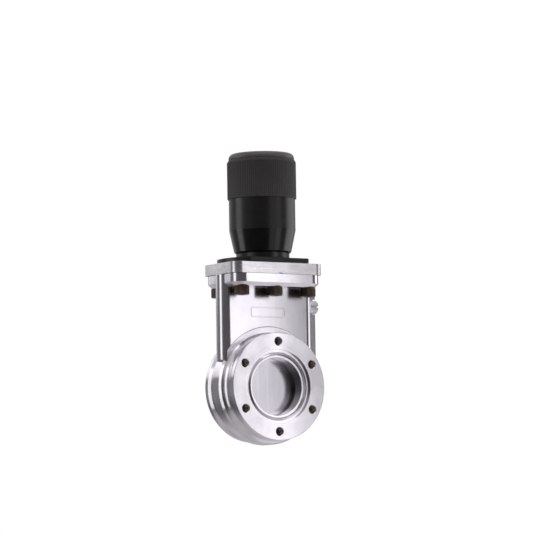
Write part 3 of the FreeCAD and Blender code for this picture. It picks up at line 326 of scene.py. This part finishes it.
def turned_metal(name, axis, light, deep, rough=(0.14, 0.26), centre=(0, 0, 0)):
    """Fine rings around an X or Z axis through a point, as a lathe leaves."""
    m = Shader(name)
    shifted = m.add("VectorMath", operation="SUBTRACT")
    m.link(m.coords, shifted.inputs[0])
    shifted.inputs[1].default_value = centre
    x, y, z = m.split(shifted.outputs[0])
    along, a, b = {"X": (x, y, z), "Z": (z, x, y)}[axis]
    rings = m.rings(m.length(a, b), along, 3000.0)
    wear = m.noise(m.coords, 120.0, 5.0, 0.6)
    color = m.tint(m.spread(wear, 0.0, 1.0), light, deep)
    roughness = m.math("ADD", m.spread(rings, *rough), m.spread(wear, -0.02, 0.04))
    normal = m.bump(rings, 0.01 * MM, 0.45, m.bevel(0.2 * MM))
    return m.set(color=color, metallic=1.0, rough=roughness, normal=normal)


def black_coating(name, shade, rough, specular, ring_depth=0.006 * MM, satin_above=None):
    """Black surface over turned metal: faint rings, soft dust, and duller above a height."""
    m = Shader(name)
    x, y, z = m.split(m.coords)
    rings = m.rings(m.length(x, y), z, 1500.0, 4.0)
    dust = m.noise(m.coords, 160.0, 6.0, 0.65)
    grain = m.noise(m.coords, 2400.0, 3.0)
    color = m.tint(m.spread(dust, 0.0, 1.0), shade, lighter(shade, 1.5))
    roughness = m.math("ADD", m.spread(dust, *rough), m.spread(grain, -0.02, 0.02))
    if satin_above is not None:
        satin = m.step(z, satin_above, satin_above + 0.4 * MM)
        roughness = m.math("ADD", roughness, m.math("MULTIPLY", satin, 0.1))
        color = m.tint(satin, color, BARREL_TONE)
    normal = m.bump(rings, ring_depth, 0.4, m.bevel(0.3 * MM))
    normal = m.bump(grain, 0.004 * MM, 0.25, normal)
    return m.set(color=color, metallic=0.0, rough=roughness, normal=normal, specular=specular)


def moulded(name, shade, rough, grain_depth=0.02 * MM, cells=1800.0, specular=0.5):
    """Fine-grained moulded or rubber surface."""
    m = Shader(name)
    grain = m.noise(m.coords, cells)
    patch = m.noise(m.coords, 140.0, 5.0, 0.6)
    color = m.tint(m.spread(patch, 0.0, 1.0), shade, lighter(shade, 1.35))
    roughness = m.math("ADD", m.spread(patch, rough - 0.05, rough + 0.05),
                       m.spread(grain, -0.03, 0.03))
    normal = m.bump(grain, grain_depth, 0.5, m.bevel(0.25 * MM))
    return m.set(color=color, metallic=0.0, rough=roughness, normal=normal, specular=specular)


steel_housing = housing_steel()
steel_brushed = brushed_steel("brushed_plate", "X", rgb(224, 221, 226), rgb(196, 193, 197))
steel_gate = brushed_steel("gate_face", "Z", rgb(194, 191, 198), rgb(188, 185, 192),
                           rough=(0.2, 0.25))
steel_spring = brushed_steel("spring_steel", "Z", rgb(196, 194, 190), rgb(160, 157, 152))
steel_turned = turned_metal("turned_steel", "Z", rgb(214, 211, 214), rgb(186, 183, 186))
steel_plug = turned_metal("plug_steel", "X", rgb(210, 206, 208), rgb(180, 176, 178),
                          centre=(0, 0, PLUG_Z))
steel_ball = turned_metal("polished_steel", "Z", rgb(230, 230, 232), rgb(216, 216, 218),
                          rough=(0.05, 0.1))
steel_bellows = turned_metal("bellows_steel", "Z", rgb(216, 212, 206), rgb(190, 185, 178),
                             rough=(0.18, 0.3))
steel_screw = turned_metal("screw_steel", "Z", rgb(98, 86, 78), rgb(66, 55, 48),
                           rough=(0.24, 0.38))
bronze = turned_metal("bronze", "Z", rgb(206, 160, 98), rgb(172, 124, 68), rough=(0.2, 0.32))
black_gloss = black_coating("black_gloss", rgb(7, 7, 8), rough=(0.16, 0.24), specular=0.5,
                            satin_above=CONE_TOP)
black_satin = black_coating("black_satin", rgb(17, 16, 17), rough=(0.28, 0.38), specular=0.45,
                            ring_depth=0.012 * MM)
grip_matt = moulded("grip_matt", rgb(45, 42, 43), 0.62, 0.14 * MM, cells=1000.0, specular=0.45)
cap_satin = moulded("cap_satin", rgb(66, 61, 59), 0.42, cells=2600.0, specular=0.6)
rubber = moulded("elastomer", rgb(30, 29, 30), 0.6)
polymer = moulded("pad_polymer", rgb(214, 196, 158), 0.45)

dress(steel_housing, "valve_body")
dress(steel_brushed, "bonnet_plate")
dress(steel_gate, "gate_carriage", "seal_plate", "counter_plate")
dress(steel_turned, "bearing_carrier", "lead_screw", "stem", "carrier_screws",
      "base_screws", "lock_nut", "bellows_lower_collar", "bellows_upper_collar")
dress(steel_plug, "purge_plug", "purge_gasket")
dress(steel_ball, "bearing_balls", "bearing_outer_ring", "bearing_inner_ring", "guide_pins",
      "cross_pin", "lock_balls")
dress(steel_spring, "retaining_ring", "drive_key", "lock_washer", "leaf_springs",
      "spring_rivets")
dress(steel_bellows, "bellows")
dress(bronze, "guide_bush", "travelling_nut")
dress(black_gloss, "handwheel_shell")
dress(black_satin, "base_flange", "actuator_tube")
dress(cap_satin, "handwheel_cap")
dress(rubber, "bonnet_gasket", "gate_seal")
dress(polymer, "guide_pads")


# ---------------------------------------------------------------- pieces made here

MERGE_DISTANCE = 1e-7
SHARP_EDGE = math.radians(40)


def skin(name, shells, material, body, node):
    """Mesh of closed shells. A shell runs through rings of equally many points, and a ring
    of one point closes its end."""
    bm = bmesh.new()
    for shell in shells:
        rows = [[bm.verts.new(point) for point in ring] for ring in shell]
        for lower, upper in zip(rows, rows[1:]):
            count = max(len(lower), len(upper))
            for i in range(count):
                j = (i + 1) % count
                corners = [lower[i % len(lower)], lower[j % len(lower)],
                           upper[j % len(upper)], upper[i % len(upper)]]
                bm.faces.new(list(dict.fromkeys(corners)))
    bmesh.ops.remove_doubles(bm, verts=bm.verts, dist=MERGE_DISTANCE)
    bmesh.ops.recalc_face_normals(bm, faces=bm.faces)
    mesh = bpy.data.meshes.new(name)
    bm.to_mesh(mesh)
    bm.free()
    mesh.polygons.foreach_set("use_smooth", [True] * len(mesh.polygons))
    mesh.set_sharp_from_angle(angle=SHARP_EDGE)
    mesh.materials.append(material)
    piece = bpy.data.objects.new(name, mesh)
    bpy.context.scene.collection.objects.link(piece)
    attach(piece, body)
    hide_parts(node)
    return piece


def loop(radius_at, z, count, centre):
    """Level ring of points around a centre, with a radius that depends on the angle."""
    points = []
    for i in range(count):
        angle = 2 * math.pi * i / count
        r = radius_at(angle)
        points.append((centre[0] + r * math.cos(angle), centre[1] + r * math.sin(angle), z))
    return points


def ribbed_ring(radius, z, count, ribs, depth, centre=(0.0, 0.0)):
    """Circle whose radius dips by depth between straight ribs."""
    def radius_at(angle):
        return radius - depth * (0.5 - 0.5 * math.cos(ribs * angle))
    return loop(radius_at, z, count, centre)


def hexagon(apothem, z, count, centre):
    """Hexagon with as many points as the rings beside it, a multiple of six."""
    def radius_at(angle):
        return apothem / math.cos(angle % (math.pi / 3) - math.pi / 6)
    return loop(radius_at, z, count, centre)


GRIP_RIBS = 108
GRIP_RIB_POINTS = 8
GRIP_RIB_DEPTH = 0.25 * MM
GRIP_WALL = 2.58 * MM
GRIP_EDGE = 0.5 * MM
GRIP_BAND = 0.4 * MM
GRIP_BEVEL_R = 1.1 * MM
GRIP_BEVEL_Z = 1.9 * MM


def ribbed_grip():
    """Sleeve with fine straight ribs, which fade into a plain band near both edges."""
    low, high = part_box("grip_sleeve")
    outer = high[0]
    inner = outer - GRIP_WALL
    bottom, top = low[2], high[2]
    band = bottom + GRIP_EDGE
    shoulder = top - GRIP_BEVEL_Z

    def ring(r, z, depth=0.0):
        return ribbed_ring(r, z, GRIP_RIBS * GRIP_RIB_POINTS, GRIP_RIBS, depth)

    rounding = 0.3 * GRIP_EDGE
    shell = [ring(inner, bottom), ring(outer - GRIP_EDGE, bottom),
             ring(outer - rounding, bottom + rounding),
             ring(outer, band), ring(outer, band + GRIP_BAND),
             ring(outer, band + 2 * GRIP_BAND, GRIP_RIB_DEPTH),
             ring(outer, shoulder - 2 * GRIP_BAND, GRIP_RIB_DEPTH),
             ring(outer, shoulder - GRIP_BAND), ring(outer, shoulder),
             ring(outer - GRIP_BEVEL_R, top), ring(inner, top), ring(inner, bottom)]
    return skin("ribbed_grip", [shell], grip_matt, "handwheel", "grip_sleeve")


HEAD_R = 5.0 * MM
HEAD_HEIGHT = 6.0 * MM
# Rounded edges of the head: how far each point lies inwards, and away from its own end
HEAD_END_EDGE = ((0.7 * MM, 0.0), (0.25 * MM, 0.2 * MM), (0.02 * MM, 0.7 * MM))
HEAD_SEAT_EDGE = ((0.05 * MM, 0.5 * MM), (0.15 * MM, 0.0))
KNURL_RIBS = 42
KNURL_RIB_POINTS = 6
KNURL_DEPTH = 0.22 * MM
KNURL_FROM_END = 0.9 * MM
KNURL_FROM_SEAT = 0.7 * MM
SHANK_R = 3.0 * MM
SHANK_CHAMFER = 0.4 * MM
SOCKET_APOTHEM = 2.5 * MM
SOCKET_DEPTH = 3.2 * MM
SOCKET_CHAMFER = 0.25 * MM


def socket_screw(x, y, bottom, top):
    """Shell of one cap screw, head down, from the floor of its socket to its tip."""
    centre = (x, y)
    count = KNURL_RIBS * KNURL_RIB_POINTS
    seat = bottom + HEAD_HEIGHT
    socket_floor = bottom + SOCKET_DEPTH

    def ring(r, z, depth=0.0):
        return ribbed_ring(r, z, count, KNURL_RIBS, depth, centre)

    shell = [[(x, y, socket_floor)],
             hexagon(SOCKET_APOTHEM, socket_floor, count, centre),
             hexagon(SOCKET_APOTHEM, bottom + SOCKET_CHAMFER, count, centre),
             hexagon(SOCKET_APOTHEM + SOCKET_CHAMFER, bottom, count, centre)]
    shell += [ring(HEAD_R - inwards, bottom + away) for inwards, away in HEAD_END_EDGE]
    shell += [ring(HEAD_R, bottom + KNURL_FROM_END, KNURL_DEPTH),
              ring(HEAD_R, seat - KNURL_FROM_SEAT, KNURL_DEPTH)]
    shell += [ring(HEAD_R - inwards, seat - away) for inwards, away in HEAD_SEAT_EDGE]
    shell += [ring(SHANK_R, seat), ring(SHANK_R, top - SHANK_CHAMFER),
              ring(SHANK_R - SHANK_CHAMFER, top), [(x, y, top)]]
    return shell


def socket_screws():
    """Six cap screws with knurled heads, at the places of the CAD screws."""
    low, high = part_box("bonnet_screws")
    far_x, far_y = high[0] - HEAD_R, high[1] - HEAD_R
    shells = [socket_screw(x, y, low[2], high[2])
              for x in (-far_x, 0.0, far_x) for y in (-far_y, far_y)]
    return skin("socket_screws", shells, steel_screw, "valve", "bonnet_screws")


black_pieces = [ribbed_grip()]
steel_pieces = [socket_screws()]


# ---------------------------------------------------------------- studio

COOL_WHITE = (0.99, 0.98, 1.0)


def receivers(name, nodes, pieces):
    """Collection of the nodes and pieces that a light is allowed to reach."""
    collection = bpy.data.collections.new(name)
    for obj in [bpy.data.objects[node] for node in nodes] + pieces:
        collection.objects.link(obj)
    return collection


def area_light(name, azimuth, elevation, distance, width, height, radiance, tint=(1, 1, 1),
               aim_z=0.04, group=None, roll=0):
    """Soft panel that looks at a height on the stem's axis and lights a group, or everything.
    Azimuth is measured from the front (-Y) towards the left (-X)."""
    a, e = math.radians(azimuth), math.radians(elevation)
    way = Vector((-math.sin(a) * math.cos(e), -math.cos(a) * math.cos(e), math.sin(e)))
    data = bpy.data.lights.new(name, "AREA")
    data.shape = "RECTANGLE"
    data.size = width
    data.size_y = height
    data.energy = radiance * math.pi * width * height
    data.color = tint
    obj = bpy.data.objects.new(name, data)
    obj.location = Vector((0, 0, aim_z)) + way * distance
    spin = Matrix.Rotation(math.radians(roll), 3, "Z")
    obj.rotation_euler = (way.to_track_quat("Z", "Y").to_matrix() @ spin).to_euler()
    obj.visible_camera = False
    if group:
        obj.light_linking.receiver_collection = group
    bpy.context.scene.collection.objects.link(obj)


BLACK_NODES = ["handwheel_shell", "grip_sleeve", "handwheel_cap", "base_flange"]
STEEL_NODES = [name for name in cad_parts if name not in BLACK_NODES]
on_black = receivers("on_black", BLACK_NODES, black_pieces)
on_steel = receivers("on_steel", STEEL_NODES, steel_pieces)
on_object = receivers("on_object", list(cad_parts), black_pieces + steel_pieces)

# Name, azimuth and elevation in degrees, distance, width and height in metres, radiance
area_light("panel_right", -26, 4, 0.34, 0.125, 0.6, 0.62, COOL_WHITE, group=on_object)
area_light("panel_inner", -25, 4, 0.34, 0.09, 0.6, 0.92, COOL_WHITE, group=on_steel, roll=8)
area_light("panel_soft", -3, 0, 0.6, 0.20, 0.7, 0.45, group=on_black)
area_light("side_right", -76, 0, 0.8, 0.38, 1.1, 1.3, group=on_object)
area_light("barrel_edge", -100, 0, 0.7, 0.2, 0.4, 0.9, aim_z=0.13, group=on_black)
area_light("strip_left", 90, 0, 0.6, 0.23, 0.8, 1.3, group=on_steel)
area_light("back_left", 150, 0, 0.35, 0.16, 0.4, 0.7, aim_z=0.285, group=on_steel)
area_light("side_left", 120, 0, 0.8, 0.34, 1.1, 1.5, group=on_black)
area_light("top_soft", 10, 68, 0.9, 0.7, 0.5, 1.2)

WHITE = (1.0, 1.0, 1.0, 1.0)
# A little less green in the greys gives the steel its faint violet
GREEN_SHARE = 0.98

# Greys that the steel and the black parts mirror, as (azimuth, grey) in four bands of elevation
GREYS_HIGH = [(-180, 0.95), (-90, 0.8), (-40, 0.6), (0, 0.5), (40, 0.5), (90, 0.75), (180, 0.95)]
GREYS_LEVEL = [(-180, 0.62), (-140, 0.42), (-110, 0.34), (-84, 0.30), (-74, 0.30), (-52, 0.10),
               (-12, 0.10), (0, 0.09), (60, 0.10), (76, 0.25), (104, 0.24), (125, 0.20),
               (150, 0.24), (180, 0.62)]
GREYS_LOW = [(-180, 0.6), (-150, 0.6), (-110, 0.45), (-60, 0.35), (-36, 0.4), (-20, 0.3),
             (0, 0.06), (70, 0.06), (110, 0.10), (160, 0.12), (172, 0.5), (180, 0.6)]
GREYS_DEEP = [(-180, 0.52), (-120, 0.62), (-95, 0.85), (-60, 0.85), (-20, 0.55), (180, 0.52)]


def studio_world():
    """White studio: plain white where it is looked at, with darker flags where it is mirrored."""
    world = bpy.data.worlds.new("studio")
    world.use_nodes = True
    bpy.context.scene.world = world
    w = Nodes(world.node_tree)
    x, y, z = w.split(w.add("TexCoord").outputs["Generated"])
    turn = w.math("ARCTAN2", w.math("MULTIPLY", x, -1.0), w.math("MULTIPLY", y, -1.0))
    around = w.math("ADD", w.math("DIVIDE", turn, 2 * math.pi), 0.5)

    def ramp(greys):
        """Grey by azimuth, measured like a light's."""
        node = w.add("ValToRGB")
        elements = node.color_ramp.elements
        elements.remove(elements[0])
        for i, (azimuth, grey) in enumerate(greys):
            place = (azimuth + 180) / 360
            element = elements.new(place) if i else elements[0]
            element.position = place
            element.color = (grey, grey * GREEN_SHARE, grey, 1.0)
        w.link(around, node.inputs["Fac"])
        return node.outputs["Color"]

    def above(start, end):
        """Smooth ramp between two elevations in degrees."""
        return w.step(z, math.sin(math.radians(start)), math.sin(math.radians(end)))

    below = w.tint(above(-48, -26), ramp(GREYS_DEEP), ramp(GREYS_LOW))
    middle = w.tint(above(-20, -6), below, ramp(GREYS_LEVEL))
    flags = w.tint(above(10, 30), middle, ramp(GREYS_HIGH))
    seen = w.add("LightPath").outputs["Is Camera Ray"]
    background = w.add("Background")
    w.link(w.tint(seen, flags, WHITE), background.inputs["Color"])
    w.link(background.outputs[0], w.add("OutputWorld").inputs["Surface"])


studio_world()

FLOOR_Z = -0.2
FLOOR_R = 1.4
FLOOR_FADE = (0.25, 0.97 * FLOOR_R)


def make_floor():
    """Pale round floor that fades out towards its rim."""
    bm = bmesh.new()
    bmesh.ops.create_circle(bm, cap_ends=True, cap_tris=False, segments=96, radius=FLOOR_R)
    mesh = bpy.data.meshes.new("floor")
    bm.to_mesh(mesh)
    bm.free()
    floor = bpy.data.objects.new("floor", mesh)
    floor.location.z = FLOOR_Z
    bpy.context.scene.collection.objects.link(floor)
    m = Shader("floor_pale")
    x, y, z = m.split(m.coords)
    grain = m.noise(m.coords, 60.0)
    m.set(color=m.tint(m.spread(grain, 0.0, 1.0), (0.93, 0.93, 0.93, 1), (0.95, 0.95, 0.95, 1)),
          rough=0.9, specular=0.1)
    blend = m.add("MixShader")
    m.link(m.step(m.length(x, y), *FLOOR_FADE), blend.inputs["Fac"])
    m.link(m.surface.outputs["BSDF"], blend.inputs[1])
    m.link(m.add("BsdfTransparent").outputs[0], blend.inputs[2])
    m.link(blend.outputs[0], m.output.inputs["Surface"])
    mesh.materials.append(m.material)
    floor.visible_glossy = False


make_floor()


# ---------------------------------------------------------------- camera

# Fitted to the photograph: angles in degrees, distance in metres, lens and sensor in
# millimetres
CAMERA_AZIMUTH, CAMERA_ELEVATION, CAMERA_ROLL = -31.922, -5.052, -0.913
CAMERA_DISTANCE = 2.663
CAMERA_AIM = Vector((-1.7, -7.1, 78.8)) * MM
LENS = 275.8
SENSOR_WIDTH = 36.0
CLIP_END = 50.0


def make_camera():
    """Camera that looks at its aim. Its azimuth is measured from the front towards the right."""
    a, e = math.radians(CAMERA_AZIMUTH), math.radians(CAMERA_ELEVATION)
    right = Vector((math.cos(a), math.sin(a), 0.0))
    back = Vector((math.sin(a) * math.cos(e), -math.cos(a) * math.cos(e), math.sin(e)))
    up = back.cross(right)
    roll = Matrix.Rotation(math.radians(CAMERA_ROLL), 3, back)
    data = bpy.data.cameras.new("camera")
    data.lens = LENS
    data.sensor_width = SENSOR_WIDTH
    data.clip_end = CLIP_END
    camera = bpy.data.objects.new("camera", data)
    axes = Matrix((roll @ right, roll @ up, back)).transposed()
    camera.matrix_world = (Matrix.Translation(CAMERA_AIM + back * CAMERA_DISTANCE)
                           @ axes.to_4x4())
    bpy.context.scene.collection.objects.link(camera)
    bpy.context.scene.camera = camera


make_camera()
bpy.context.scene.view_settings.view_transform = "Standard"
